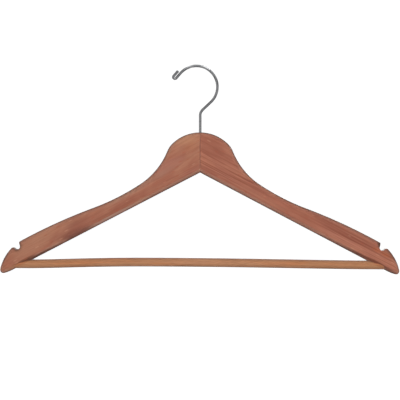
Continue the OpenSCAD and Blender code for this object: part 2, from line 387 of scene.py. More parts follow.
def notch_cutter():
    """The notch's hollow, flared where it leaves each face of the board."""
    past_face, wall_l = 1, 12
    round_steps, lip_steps = 32, 8
    centre = np.array([HALF_W - NOTCH_INSET, bar_z + NOTCH_RISE])
    lip_c = centre + (NOTCH_R + LIP_R) * unit(-OUTER_LEAN) + OUTER_WALL_L * unit(90 - OUTER_LEAN)
    # Depths below the face round the notch's edge, and how much wider the notch is at each
    depths = [0.0, 0.05, 0.12, 0.22, 0.35, NOTCH_EDGE_R]
    flares = [NOTCH_EDGE_R - math.sqrt(NOTCH_EDGE_R ** 2 - (NOTCH_EDGE_R - d) ** 2) for d in depths]
    front = [(-HALF_T - past_face, NOTCH_EDGE_R)]
    front += [(-HALF_T + d, f) for d, f in zip(depths, flares)]
    stations = front + [(-y, f) for y, f in reversed(front)]
    rings = []
    for y, flare in stations:
        r, lip_r = NOTCH_R + flare, LIP_R - flare
        inner_top = centre + r * unit(180 - INNER_LEAN) + wall_l * unit(90 - INNER_LEAN)
        outer_top = lip_c + lip_r * unit(LIP_END) + wall_l * unit(LIP_END - 90)
        ring = [inner_top]
        ring += arc(centre, r, 180 - INNER_LEAN, 360 - OUTER_LEAN, round_steps)
        ring += arc(lip_c, lip_r, 180 - OUTER_LEAN, LIP_END, lip_steps)
        ring += [outer_top, np.array([outer_top[0], inner_top[1]])]
        rings.append([(p[0], y, p[1]) for p in ring])
    return loft("notch_cutter", rings)


def swivel_cutter():
    """The stepped hollow for the shank, the bush, the washer and the head."""
    bush_low, bush_high = box_mm("swivel_bush")
    washer_low, washer_high = box_mm("swivel_washer")
    room, bush_gap, shank_gap, past_crown = 0.5, 0.03, 0.45, 2
    low = washer_low.z - HEAD_H - room
    wide = washer_high.x + room
    bore = bush_high.x + bush_gap
    narrow = WIRE_R + shank_gap
    profile = [
        (low, wide), (bush_low.z, wide), (bush_low.z, bore), (bush_high.z, bore),
        (bush_high.z, narrow), (CROWN_Z + past_crown, narrow),
    ]
    return turned("swivel_cutter", profile, (0, 0, 0), (0, 0, 1), sides=64)


def dowel_cutter(node):
    """A hole along X, a little wider and longer than its dowel."""
    low, high = box_mm(node)
    middle = (low + high) / 2
    radius = (high.z - low.z) / 2 + DOWEL_GAP
    past_joint = 1
    profile = [(-past_joint, radius), (high.x + DOWEL_GAP, radius)]
    return turned(node + "_cutter", profile, (0, 0, middle.z), (1, 0, 0), sides=64)


def bar_cutter():
    """The blind socket that the bar's end sits in."""
    radius = BAR_R + SOCKET_GAP
    mouth, end_gap = 1, 0.1
    profile = [(bar_straight - mouth, radius), (BAR_END + end_gap, radius)]
    return turned("bar_cutter", profile, (0, 0, bar_z), (1, 0, 0), sides=96)


def brad_cutter():
    """The hole for the brad's shank, with a recess for its head that opens at the back."""
    low, high = box_mm("right_bar_brad")
    middle = (low + high) / 2
    head_r = (high.x - low.x) / 2
    head_y = high.y - BRAD_HEAD_T
    past_back = 1
    profile = [
        (low.y, BRAD_HOLE_R), (head_y, BRAD_HOLE_R), (head_y, head_r), (high.y + past_back, head_r),
    ]
    return turned("brad_cutter", profile, (middle.x, 0, middle.z), (0, 1, 0), sides=32)


def make_arms(left_wood, right_wood):
    """The right arm, bored and notched, and its mirror image."""
    right = cut(arm_blank(), [
        notch_cutter(), swivel_cutter(), dowel_cutter("upper_dowel"), dowel_cutter("lower_dowel"),
        bar_cutter(), brad_cutter(),
    ])
    left = mirrored(right, "left_arm_cedar")
    finish_piece(right, right_wood, "hanger_frame", "cedar_right", "right_arm")
    finish_piece(left, left_wood, "hanger_frame", "cedar_left", "left_arm")


# ---- The trouser bar and the small pieces inside ----

def rise(x):
    """Height of the bar's bow above its ends. It dies away softly towards each end."""
    softness = 1.5
    side = math.copysign(1, x - BAR_BOW_AT)
    span = bar_straight - side * BAR_BOW_AT
    return BAR_BOW * max(0, 1 - ((x - BAR_BOW_AT) / span) ** 2) ** softness


def make_bar(wood):
    """The bowed bar, chamfered at both ends and pierced for the brads."""
    sides, bow_stations = 64, 121
    chamfer = 0.6
    ends = [(BAR_END, BAR_R - chamfer), (BAR_END - chamfer, BAR_R)]
    middle = np.linspace(-bar_straight, bar_straight, bow_stations)
    stations = [(-x, r) for x, r in ends] + [(x, BAR_R) for x in middle]
    stations += [(x, r) for x, r in reversed(ends)]
    rings = []
    for x, radius in stations:
        z = bar_z + rise(x)
        rings.append([(x, radius * math.cos(t), z + radius * math.sin(t)) for t in full_turn(sides)])
    bar = loft("trouser_bar_turned", rings)
    right_hole = brad_cutter()
    cut(bar, [mirrored(right_hole, "left_cutter"), right_hole])
    finish_piece(bar, wood, "hanger_frame", "bar_wood", "trouser_bar")


def make_brad(node, metal):
    """A round-head brad with a pointed end, driven from the back."""
    low, high = box_mm(node)
    middle = (low + high) / 2
    head_r = (high.x - low.x) / 2
    shank_r, point_r, point_l = 0.58, 0.05, 1.8
    # The head, from its underside out: (depth below the top, radius), as shares of its own size
    head = [(1, 0.9), (0.8, 0.98), (0.35, 0.98), (0.12, 0.85), (0.03, 0.5), (0, 0.1)]
    profile = [(low.y, point_r), (low.y + point_l, shank_r), (high.y - BRAD_HEAD_T, shank_r)]
    profile += [(high.y - BRAD_HEAD_T * depth, head_r * share) for depth, share in head]
    brad = turned(node + "_round_head", profile, (middle.x, 0, middle.z), (0, 1, 0), sides=32)
    finish_piece(brad, metal, "hanger_frame", "brad_steel", node)


def make_dowel(node, wood):
    """A fluted dowel with chamfered ends."""
    low, high = box_mm(node)
    radius = high.y
    chamfer, flute_depth, flutes, per_flute = 0.8, 0.22, 16, 6
    sides = flutes * per_flute
    stations = [(low.x, chamfer), (low.x + chamfer, 0), (high.x - chamfer, 0), (high.x, chamfer)]
    z = (low.z + high.z) / 2
    rings = []
    for x, less in stations:
        ring = []
        for t in full_turn(sides):
            r = radius - less - flute_depth * max(0, math.cos(flutes * t)) ** 2
            ring.append((x, r * math.cos(t), z + r * math.sin(t)))
        rings.append(ring)
    dowel = loft(node + "_fluted", rings)
    finish_piece(dowel, wood, "hanger_frame", "dowel_wood", node)


def make_collar(node, body, chamfer, metal):
    """A bush or washer: a bored ring with chamfered edges."""
    low, high = box_mm(node)
    outer = high.x
    sides = 96
    profile = [
        (low.z + chamfer, outer), (high.z - chamfer, outer), (high.z, outer - chamfer),
        (high.z, BORE_R + chamfer), (high.z - chamfer, BORE_R),
        (low.z + chamfer, BORE_R), (low.z, BORE_R + chamfer), (low.z, outer - chamfer),
    ]
    points = [p for z, radius in profile for p in level_ring(radius, z, sides)]
    faces = ring_walls(len(profile) + 1, sides)
    faces = [tuple(i % len(points) for i in face) for face in faces]
    collar = outward(new_object(node + "_turned", points, faces))
    finish_piece(collar, metal, body, "bush_brass", node)


# ---- The hook ----

# The round part: its inner radius, how far its middle lies left of the swivel axis, and the angle
# at which it ends
HOOK_IN_R = 21.2
HOOK_OFFSET = 4.2
HOOK_END = 139
# The neck's lean, and the bend from the shank into the neck
NECK_ANGLE = 46.6
SHANK_BEND_R = 8.5
# The straight after the round part, the fold, and the end that is turned back
LEAD_L = 7.3
FOLD_R = 1.8
END_L = 7.4


def hook_path(start_z):
    """The middle line of the wire: up the shank, round the hook, back and along to the cut end."""
    hook_r = HOOK_IN_R + WIRE_R
    hook_c = np.array([-HOOK_OFFSET, -math.sqrt(HOOK_IN_R ** 2 - HOOK_OFFSET ** 2)])
    neck_start = hook_c + hook_r * unit(-NECK_ANGLE)
    bend_reach = SHANK_BEND_R * (1 - unit(NECK_ANGLE)[0])
    neck_l = (neck_start[0] - bend_reach) / unit(NECK_ANGLE)[1]
    bend_z = neck_start[1] - neck_l * unit(NECK_ANGLE)[0] - SHANK_BEND_R * unit(NECK_ANGLE)[1]
    bend_c = np.array([SHANK_BEND_R, bend_z])
    fold_c = hook_c + (hook_r + FOLD_R) * unit(HOOK_END) + LEAD_L * unit(HOOK_END + 90)
    end_start = fold_c + FOLD_R * unit(HOOK_END)
    shank_points, end_points = 30, 8
    shank = [np.array([0, z]) for z in np.linspace(start_z, bend_z, shank_points)]
    bend = arc(bend_c, SHANK_BEND_R, 180, 180 - NECK_ANGLE, steps=16)
    rounds = arc(hook_c, hook_r, -NECK_ANGLE, HOOK_END, steps=72)
    fold = arc(fold_c, FOLD_R, HOOK_END + 180, HOOK_END, steps=24)
    end = [end_start + s * unit(HOOK_END - 90) for s in np.linspace(0, END_L, end_points)]
    return shank[:-1] + bend + rounds + fold + end[1:]


def make_hook(metal):
    """The wire, with its upset head under the washer and its cut end eased."""
    sides = 48
    washer_low, _ = box_mm("swivel_washer")
    path = hook_path(washer_low.z)
    # The head, from its lower face up to the washer: (height, radius)
    head = [(-HEAD_H, HEAD_R - 0.5), (-HEAD_H + 0.15, HEAD_R - 0.15), (-HEAD_H + 0.5, HEAD_R)]
    head += [(-0.3, HEAD_R), (-0.08, HEAD_R - 0.08), (0, HEAD_R - 0.3), (0, WIRE_R)]
    # The cut end: (distance back from the tip, radius)
    end = [(0.35, WIRE_R), (0.1, WIRE_R - 0.12), (0, WIRE_R - 0.35)]
    end_way = unit(HOOK_END - 90)
    stations = [(path[0] + np.array([0, dz]), r) for dz, r in head]
    stations += [(p, WIRE_R) for p in path[1:-1]]
    stations += [(path[-1] - back * end_way, r) for back, r in end]
    centres = np.array([s[0] for s in stations])
    rings = []
    for k, (centre, radius) in enumerate(stations):
        if k < len(head):
            way = np.array([0, 1])
        elif k >= len(stations) - len(end):
            way = end_way
        else:
            way = centres[k + 1] - centres[k - 1]
            way = way / np.linalg.norm(way)
        side = np.array([way[1], -way[0]])
        ring = []
        for t in full_turn(sides):
            p = centre + side * radius * math.cos(t)
            ring.append((p[0], radius * math.sin(t), p[1]))
        rings.append(ring)
    hook = loft("hook_wire_plated", rings)
    finish_piece(hook, metal, "hook", "hook_metal", "hook_wire")


# ---- Colours ----

def srgb(r, g, b):
    """A linear colour from sRGB values out of 255."""
    def linear(c):
        c = c / 255
        return c / 12.92 if c <= 0.04045 else ((c + 0.055) / 1.055) ** 2.4
    return (linear(r), linear(g), linear(b), 1.0)


# Cedar tones: light, middle, dark and deep
LEFT_TONES = (srgb(179, 121, 94), srgb(164, 100, 77), srgb(150, 86, 64), srgb(138, 74, 55))
RIGHT_TONES = (srgb(180, 114, 89), srgb(163, 98, 77), srgb(150, 82, 61), srgb(132, 67, 48))
# Painted pale sheen for the rounded edges, strongest on the underside
PAINTED_SHEEN_CEDAR = srgb(184, 149, 130)
# Painted shade for the outer part of the arms' rounded edges
CEDAR_EDGE_SHADE_TONE = srgb(94, 70, 60)
PALE_FLECK = srgb(205, 150, 118)
RED_FLECK = srgb(170, 78, 52)

# Shades that more than one spot on the arms has
UNDER_SHADE = srgb(96, 58, 44)
# Painted contact shadow where the arm's underside lies over the bar
CONTACT_SHADOW = srgb(100, 56, 34)
# Painted shadow, darker still, in the crease where the underside meets the bar
JUNCTION_SHADOW = srgb(70, 38, 28)
RIM_SHADE = srgb(98, 68, 56)
SEAM_SHADE = srgb(150, 82, 60)
ORANGE = srgb(190, 98, 54)

BAR_TONES = (srgb(191, 138, 101), srgb(182, 126, 87), srgb(164, 101, 63))
BAR_ORANGE = srgb(192, 116, 66)
# Painted warm shade for the bar's ends at the arms
BAR_ROOT_SHADE = srgb(164, 88, 48)
# Painted grey shade for the outer part of the bar's round
BAR_EDGE_SHADE_TONE = srgb(150, 130, 122)

# ---- The two boards ----

# Places and reaches are in metres, and angles in degrees. slope is the way the grain runs. pith is
# where the log's middle lay, in Y and along the board's own Z: it decides whether the face shows fine
# straight rings or broad ones. ring_gap is the space between the rings, and seed shifts the figure.
# ring, band, fibre and streak are how strongly each kind of figure shows, and smear turns the clouds
# of tone away from the grain. Spots are (tone, amount, centre in X and Z, reach along and across,
# tilt); most are tones of the wood, and some are painted shadow, shade or sheen. Zones, where the
# streaks are strong, are (centre, reach).
LEFT_BOARD = {
    "slope": ARM_SLOPE,
    "pith": (0.05, -0.07),
    "ring_gap": 0.0032,
    "seed": 0.0,
    "tones": LEFT_TONES,
    "ring": 0.38,
    "band": 0.35,
    "fibre": 0.07,
    "streak": 0.45,
    "smear": 14,
    "zones": [((-0.02, -0.12), (0.05, 0.006))],
    "spots": [
        (srgb(190, 134, 100), 0.7, (-0.016, -0.078), (0.024, 0.008), 8),
        (srgb(172, 102, 68), 0.4, (-0.009, -0.0855), (0.012, 0.007), 20),
        (srgb(176, 118, 100), 0.5, (-0.036, -0.108), (0.026, 0.007), ARM_SLOPE),
        (srgb(144, 76, 66), 0.6, (-0.004, -0.109), (0.018, 0.0025), ARM_SLOPE),
        (srgb(152, 88, 68), 0.5, (-0.082, -0.147), (0.034, 0.006), ARM_SLOPE),
        (srgb(116, 68, 56), 0.8, (-0.134, -0.18), (0.026, 0.006), ARM_SLOPE - 4),
        (srgb(142, 84, 66), 0.55, (-0.134, -0.1695), (0.022, 0.01), ARM_SLOPE),
        (srgb(140, 84, 64), 0.45, (-0.106, -0.163), (0.02, 0.003), ARM_SLOPE),
        (srgb(148, 82, 60), 0.45, (-0.086, -0.1528), (0.036, 0.0035), ARM_SLOPE),
        # Painted pale sheen along the lower edge, where it catches light from below
        (srgb(184, 146, 130), 0.65, (-0.092, -0.1597), (0.034, 0.0022), ARM_SLOPE),
        (srgb(138, 80, 62), 0.5, (-0.15, -0.184), (0.016, 0.006), ARM_SLOPE),
        (srgb(178, 126, 98), 0.6, (-0.178, -0.19), (0.036, 0.011), ARM_SLOPE + 8),
        (UNDER_SHADE, 0.85, (-0.166, -0.2), (0.038, 0.003), ARM_SLOPE),
        (CONTACT_SHADOW, 0.9, (-0.191, -0.2102), (0.018, 0.0021), ARM_SLOPE),
        (srgb(172, 132, 110), 0.34, (-0.07, -0.1325), (0.045, 0.0042), 31),
        (SEAM_SHADE, 0.5, (0, -0.088), (0.0008, 0.026), 0),
        (JUNCTION_SHADOW, 0.8, (-0.176, -0.2053), (0.014, 0.0017), ARM_SLOPE),
        (RIM_SHADE, 1.0, (-0.1972, -0.1936), (0.0056, 0.0062), 0),
        (RIM_SHADE, 0.6, (-0.2105, -0.2045), (0.016, 0.0028), 59),
        (srgb(184, 122, 84), 0.6, (-0.2, -0.2165), (0.012, 0.0035), ARM_SLOPE),
    ],
}
RIGHT_BOARD = {
    "slope": -ARM_SLOPE,
    "pith": (0.03, -0.06),
    "ring_gap": 0.0019,
    "seed": 5.0,
    "tones": RIGHT_TONES,
    "ring": 0.34,
    "band": 0.26,
    "fibre": 0.08,
    "streak": 0.95,
    "smear": 0,
    "zones": [((0.026, -0.109), (0.045, 0.01)), ((0.175, -0.196), (0.05, 0.012))],
    "spots": [
        (srgb(176, 116, 92), 0.55, (0.078, -0.147), (0.05, 0.003), -ARM_SLOPE),
        (srgb(148, 82, 62), 0.5, (0.014, -0.0815), (0.03, 0.012), -18),
        (srgb(176, 112, 90), 0.5, (0.028, -0.1168), (0.018, 0.0045), -ARM_SLOPE),
        (srgb(142, 78, 60), 0.6, (0.056, -0.1245), (0.028, 0.0042), -32),
        (srgb(154, 84, 62), 0.3, (0.1, -0.154), (0.05, 0.013), -ARM_SLOPE),
        (srgb(182, 116, 94), 0.7, (0.158, -0.1873), (0.038, 0.0032), -ARM_SLOPE),
        # Painted shade in the notch's inner upper corner
        (srgb(62, 48, 38), 0.9, (0.1945, -0.1908), (0.003, 0.0042), 0),
        (CONTACT_SHADOW, 0.9, (0.191, -0.2102), (0.018, 0.0021), -ARM_SLOPE),
        (SEAM_SHADE, 0.5, (0, -0.088), (0.0008, 0.026), 0),
        (JUNCTION_SHADOW, 1.0, (0.172, -0.2025), (0.019, 0.0034), -ARM_SLOPE),
        (RIM_SHADE, 0.8, (0.2045, -0.2195), (0.009, 0.0019), -22),
        (RIM_SHADE, 0.6, (0.2105, -0.2045), (0.016, 0.0028), -59),
        (srgb(138, 82, 60), 0.45, (0.206, -0.197), (0.013, 0.016), -ARM_SLOPE),
        (ORANGE, 0.5, (0.191, -0.1968), (0.006, 0.0028), -ARM_SLOPE),
        (ORANGE, 0.5, (0.2, -0.2015), (0.007, 0.0026), -ARM_SLOPE),
        (UNDER_SHADE, 1.0, (0.168, -0.2013), (0.042, 0.0035), -ARM_SLOPE),
    ],
}
# Painted warm shade on the bar's ends, where they go into the arms
BAR_ROOT_SHADE_SPOTS = [
    (BAR_ROOT_SHADE, 0.55, (side * 0.193, -0.2108), (0.014, 0.0042), -side * ARM_SLOPE) for side in (-1, 1)
]

# How far out a spot starts and is full, counted in its own reach, and the same for a streak zone
SPOT_START, SPOT_FULL = 1.15, 0.35
ZONE_START, ZONE_FULL = 1.2, 0.6
# How far the clouds of tone push a spot's edge in and out
SPOT_WAVER = 0.9
# A spot's reach through the board, in metres: well past both of its faces
SPOT_DEPTH = 0.02

# Strength of the streaks outside their zones, and of the dark and the pale ones
FAINT_STREAK = 0.35
DARK_STREAK, PALE_STREAK = 0.75, 0.8
# How far the growth rings wander from true circles, in metres, slowly and quickly along the grain
RING_SWAY, RING_RIPPLE = 0.012, 0.0012

# How far a normal may turn from facing front or back before an edge gets painted shade, and where
# the painted shade is full: 1 faces front or back, 0 faces sideways
EDGE_SHADE_START, EDGE_SHADE_FULL = 0.82, 0.32
# How much of the painted shade is left in the middle of the edge
EDGE_SHADE_MIDDLE = 0.35
# Strength of the painted edge shade on the arms and on the bar
CEDAR_EDGE_SHADE, BAR_EDGE_SHADE = 0.8, 0.5
# Where the painted sheen inside the rim starts and is full, and its strength on the underside and
# above
BAND_START, BAND_FULL = 0.999, 0.93
BAND_BELOW, BAND_ABOVE = 0.38, 0.16


# ---- Materials ----

class Nodes:
    """A short way to write a node tree."""

    def __init__(self, tree):
        self.tree = tree

    def link(self, value, socket):
        """Joins an output to a socket, or gives the socket a constant value."""
        if isinstance(value, bpy.types.NodeSocket):
            self.tree.links.new(value, socket)
        else:
            socket.default_value = value

    def node(self, kind, output=0, settings=None, **inputs):
        """Adds a node and returns one of its outputs. An input's name has _ for each space."""
        n = self.tree.nodes.new(kind)
        for key, value in (settings or {}).items():
            setattr(n, key, value)
        for key, value in inputs.items():
            self.link(value, n.inputs[key.replace("_", " ")])
        return n.outputs[output]

    def math(self, operation, a, b=0.0):
        n = self.tree.nodes.new("ShaderNodeMath")
        n.operation = operation
        self.link(a, n.inputs[0])
        self.link(b, n.inputs[1])
        return n.outputs[0]

    def plus(self, a, b):
        return self.math("ADD", a, b)

    def minus(self, a, b):
        return self.math("SUBTRACT", a, b)

    def times(self, a, b):
        return self.math("MULTIPLY", a, b)

    def length(self, vector):
        return self.node("ShaderNodeVectorMath", "Value", {"operation": "LENGTH"}, Vector=vector)

    def split(self, vector):
        """The outputs X, Y and Z of a vector."""
        n = self.tree.nodes.new("ShaderNodeSeparateXYZ")
        self.link(vector, n.inputs[0])
        return n.outputs

    def ramp(self, value, low, high, to_low=0.0, to_high=1.0):
        """A smooth step of value from low to high, given out from to_low to to_high."""
        n = self.tree.nodes.new("ShaderNodeMapRange")
        n.interpolation_type = "SMOOTHSTEP"
        for k, v in enumerate((value, low, high, to_low, to_high)):
            self.link(v, n.inputs[k])
        return n.outputs[0]

    def mix(self, factor, a, b, blend="MIX"):
        """Colour a, and colour b laid over it by factor."""
        n = self.tree.nodes.new("ShaderNodeMix")
        n.data_type = "RGBA"
        n.blend_type = blend
        n.clamp_factor = True
        self.link(factor, n.inputs[0])
        self.link(a, n.inputs[6])
        self.link(b, n.inputs[7])
        return n.outputs[2]

    def shade(self, colour, factor):
        """A colour times a grey factor."""
        grey = self.node("ShaderNodeCombineColor", Red=factor, Green=factor, Blue=factor)
        return self.mix(1.0, colour, grey, "MULTIPLY")

    def mapped(self, vector, scale=(1, 1, 1), rotation=(0, 0, 0), location=(0, 0, 0)):
        return self.node("ShaderNodeMapping", Vector=vector, Scale=scale, Rotation=rotation,
                         Location=location)

    def noise(self, vector, scale, detail=2.0, roughness=0.5):
        return self.node("ShaderNodeTexNoise", Vector=vector, Scale=scale, Detail=detail,
                         Roughness=roughness)

    def long_noise(self, vector, along, across, detail=2.0, roughness=0.5, location=(0, 0, 0)):
        """Noise drawn out along X. along and across are its scales, per metre."""
        drawn_out = self.mapped(vector, scale=(along, across, across), location=location)
        return self.noise(drawn_out, 1.0, detail, roughness)


class Material(Nodes):
    """A material with one Principled shader."""

    def __init__(self, name):
        self.material = bpy.data.materials.new(name)
        self.material.use_nodes = True
        super().__init__(self.material.node_tree)
        self.tree.nodes.clear()
        out = self.tree.nodes.new("ShaderNodeOutputMaterial")
        self.bsdf = self.tree.nodes.new("ShaderNodeBsdfPrincipled")
        self.tree.links.new(self.bsdf.outputs[0], out.inputs["Surface"])

    def place(self):
        """The point's place in the object's own axes, in metres."""
        return self.node("ShaderNodeTexCoord", "Object")

    def facing(self):
        """The outputs X, Y and Z of the surface's direction in the object's own axes."""
        return self.split(self.node("ShaderNodeTexCoord", "Normal"))

    def dry_sheen(self):
        """Bare sanded wood: a weak gloss, and pale where it is seen at a low angle."""
        self.bsdf.inputs["Specular IOR Level"].default_value = 0.35
        self.bsdf.inputs["Sheen Weight"].default_value = 0.32
        self.bsdf.inputs["Sheen Roughness"].default_value = 0.4

    def bare_metal(self):
        self.bsdf.inputs["Metallic"].default_value = 1.0

    def surface(self, colour, roughness, bump, depth, strength):
        """Sets the colour, the roughness and a bump depth metres deep, and returns the material."""
        self.link(colour, self.bsdf.inputs["Base Color"])
        self.link(roughness, self.bsdf.inputs["Roughness"])
        normal = self.node("ShaderNodeBump", Height=bump, Distance=depth, Strength=strength)
        self.link(normal, self.bsdf.inputs["Normal"])
        return self.material


def spot_field(n, place, centre, reach, tilt):
    """Distance from a spot's centre, counted in the spot's own reach each way."""
    x, z = centre
    along, across = reach
    spot = n.mapped(place, location=(-x, 0, -z))
    spot = n.mapped(spot, rotation=(0, math.radians(tilt), 0))
    spot = n.mapped(spot, scale=(1 / along, 1 / SPOT_DEPTH, 1 / across))
    return n.length(spot)


def spotted(n, place, colour, spots, push=0.0):
    """Lays spots of tones, some painted shade, over a colour. push moves their edges in and out."""
    for tone, amount, centre, reach, tilt in spots:
        away = n.plus(spot_field(n, place, centre, reach, tilt), push)
        colour = n.mix(n.ramp(away, SPOT_START, SPOT_FULL, 0.0, amount), colour, tone)
    return colour


def painted_sheen_band(n, colour, tone):
    """A painted pale sheen where the flat face starts to turn into the rounded edge, strongest below.
    """
    level = 0.05
    facing = n.facing()
    sheen_mask = n.ramp(n.math("ABSOLUTE", facing["Y"]), BAND_START, BAND_FULL)
    amount = n.ramp(facing["Z"], -level, level, BAND_BELOW, BAND_ABOVE)
    return n.mix(n.times(sheen_mask, amount), colour, tone)


def painted_edge_shade(n, colour, tone, amount):
    """Darkens the rounded edges with painted shade where they turn away from front and back."""
    flat = n.math("ABSOLUTE", n.facing()["Y"])
    rim = n.ramp(flat, EDGE_SHADE_START, EDGE_SHADE_FULL, 0.0, amount)
    middle = n.ramp(flat, 0.0, EDGE_SHADE_FULL, EDGE_SHADE_MIDDLE, 1.0)
    return n.mix(n.times(rim, middle), colour, tone)


def late_wood(n, grain, shifted, board):
    """Where the dark late wood of the growth rings shows. Some rings are darker than others."""
    pith_y, pith_z = board["pith"]
    part = n.split(grain)
    from_pith = n.node("ShaderNodeCombineXYZ", X=0.0, Y=n.minus(part["Y"], pith_y),
                       Z=n.minus(part["Z"], pith_z))
    sway = n.long_noise(shifted, 9, 40, 3.0)
    ripple = n.long_noise(shifted, 45, 160)
    radius = n.plus(n.length(from_pith), n.times(sway, RING_SWAY))
    radius = n.plus(radius, n.times(ripple, RING_RIPPLE))
    rings = n.math("DIVIDE", radius, board["ring_gap"])
    phase = n.math("FRACT", rings)
    chance = n.node("ShaderNodeTexWhiteNoise", settings={"noise_dimensions": "1D"},
                    W=n.math("FLOOR", rings))
    late = n.times(n.ramp(phase, 0.45, 0.9), n.ramp(phase, 1.0, 0.93))
    return n.times(late, n.ramp(chance, 0.1, 0.9, 0.25, 1.0))


def streaked(n, place, shifted, colour, board):
    """Dark and pale streaks along the grain, strong in the zones and faint elsewhere."""
    light, _, _, deep = board["tones"]
    streak = n.long_noise(shifted, 13, 640, 1.5, location=(1, 5, 4))
    strength = FAINT_STREAK
    for centre, reach in board["zones"]:
        away = spot_field(n, place, centre, reach, board["slope"])
        zone = n.ramp(away, ZONE_START, ZONE_FULL, FAINT_STREAK, 1.0)
        strength = n.math("MAXIMUM", zone, strength)
    strength = n.times(strength, board["streak"])
    dark = n.times(n.ramp(streak, 0.5, 0.64), strength)
    pale = n.times(n.ramp(streak, 0.46, 0.36), strength)
    colour = n.mix(n.times(dark, DARK_STREAK), colour, deep)
    return n.mix(n.times(pale, PALE_STREAK), colour, light)


def flecked(n, shifted, colour):
    """Short pale and red flecks along the grain."""
    cells = n.tree.nodes.new("ShaderNodeTexVoronoi")
    n.link(n.mapped(shifted, scale=(110, 420, 420)), cells.inputs["Vector"])
    n.link(1.0, cells.inputs["Scale"])
    chance = n.tree.nodes.new("ShaderNodeSeparateColor")
    n.link(cells.outputs["Color"], chance.inputs[0])
    pale_amount, red_amount = 0.35, 0.4
    small = n.ramp(cells.outputs["Distance"], 0.36, 0.14)
    pale = n.times(small, n.ramp(chance.outputs["Red"], 0.88, 0.93))
    red = n.times(small, n.ramp(chance.outputs["Green"], 0.86, 0.91))
    colour = n.mix(n.times(pale, pale_amount), colour, PALE_FLECK)
    return n.mix(n.times(red, red_amount), colour, RED_FLECK)


def cedar(name, board):
    """Aromatic red cedar, whose grain runs along the arm."""
    n = Material(name)
    light, middle, dark, deep = board["tones"]
    seed = board["seed"]
    place = n.place()
    grain = n.mapped(place, rotation=(0, math.radians(board["slope"]), 0))
    shifted = n.mapped(grain, location=(seed, seed * 0.37, seed * 0.71))
    smeared = n.mapped(shifted, rotation=(0, math.radians(board["smear"]), 0))
    late = late_wood(n, grain, shifted, board)
    cloud = n.long_noise(smeared, 24, 80, 3.0, 0.55)
    band = n.long_noise(shifted, 7, 260, 3.0, 0.6)
    fibre = n.long_noise(shifted, 60, 2200, 3.0, 0.6)
    ring_zone = n.long_noise(shifted, 14, 90, location=(3, 1, 2))

    colour = n.mix(n.ramp(cloud, 0.35, 0.68), middle, light)
    colour = n.mix(n.times(n.ramp(band, 0.45, 0.72), board["band"]), colour, dark)
    shown = n.times(n.ramp(ring_zone, 0.4, 0.62, 0.25, 1.0), board["ring"])
    colour = n.mix(n.times(late, shown), colour, deep)
    # Painted pale sheen where the face turns into the rounded edge, stronger on the underside
    colour = painted_sheen_band(n, colour, PAINTED_SHEEN_CEDAR)
    push = n.times(n.minus(cloud, 0.5), SPOT_WAVER)
    colour = spotted(n, place, colour, board["spots"], push)
    colour = streaked(n, place, shifted, colour, board)
    colour = n.shade(colour, n.ramp(fibre, 0.3, 0.7, 1 - board["fibre"], 1 + board["fibre"]))
    colour = flecked(n, shifted, colour)
    # Painted shade on the outer part of the rounded edges
    colour = painted_edge_shade(n, colour, CEDAR_EDGE_SHADE_TONE, CEDAR_EDGE_SHADE)

    # The fibres stand up a little, and the late wood is sanded down
    height = n.plus(n.times(fibre, 0.7), n.times(late, -0.5))
    n.dry_sheen()
    return n.surface(colour, n.ramp(fibre, 0.2, 0.8, 0.52, 0.68), height, depth=0.00006, strength=0.6)


def bar_timber():
    """Pale straight-grained wood, turned round, with a little orange in it."""
    n = Material("bar_timber")
    light, middle, dark = BAR_TONES
    place = n.place()
    line = n.long_noise(place, 7, 520, 3.0, 0.6)
    cloud = n.long_noise(place, 11, 60)
    fibre = n.long_noise(place, 70, 2400, 3.0, 0.6)
    warm = n.long_noise(place, 15, 230, location=(4, 2, 6))
    colour = n.mix(n.ramp(cloud, 0.35, 0.7), middle, light)
    colour = n.mix(n.times(n.ramp(line, 0.5, 0.66), 0.5), colour, dark)
    colour = n.mix(n.times(n.ramp(warm, 0.52, 0.66), 0.4), colour, BAR_ORANGE)
    colour = n.shade(colour, n.ramp(fibre, 0.3, 0.7, 0.92, 1.08))
    # Painted warm shade where the bar goes into the arms
    colour = spotted(n, place, colour, BAR_ROOT_SHADE_SPOTS)
    # Painted shade on the outer part of the bar's round
    colour = painted_edge_shade(n, colour, BAR_EDGE_SHADE_TONE, BAR_EDGE_SHADE)
    n.dry_sheen()
    return n.surface(colour, n.ramp(fibre, 0.2, 0.8, 0.48, 0.62), fibre, depth=0.00005, strength=0.6)


def dowel_timber():
    """Plain beech with short dark flecks."""
    n = Material("dowel_timber")
    place = n.place()
    fibre = n.long_noise(place, 90, 1800, 3.0, 0.6)
    fleck = n.long_noise(place, 400, 2600, 1.0)
    colour = n.mix(n.ramp(fibre, 0.35, 0.7), srgb(196, 158, 114), srgb(212, 178, 136))
    colour = n.mix(n.times(n.ramp(fleck, 0.66, 0.74), 0.5), colour, srgb(140, 96, 60))
    return n.surface(colour, n.ramp(fibre, 0.2, 0.8, 0.55, 0.7), fibre, depth=0.00006, strength=0.6)


def plated_wire():
    """Bright plated steel wire with faint draw marks and handling haze."""
    n = Material("plated_wire")
    place = n.place()
    haze = n.noise(place, 260.0, 3.0, 0.6)
    marks = n.noise(n.mapped(place, scale=(1500, 6000, 1500)), 1.0, 2.0, 0.6)
    colour = n.mix(n.ramp(haze, 0.35, 0.7), srgb(196, 197, 200), srgb(214, 215, 217))
    n.bare_metal()
    return n.surface(colour, n.ramp(haze, 0.3, 0.75, 0.1, 0.22), marks, depth=0.000006, strength=0.5)


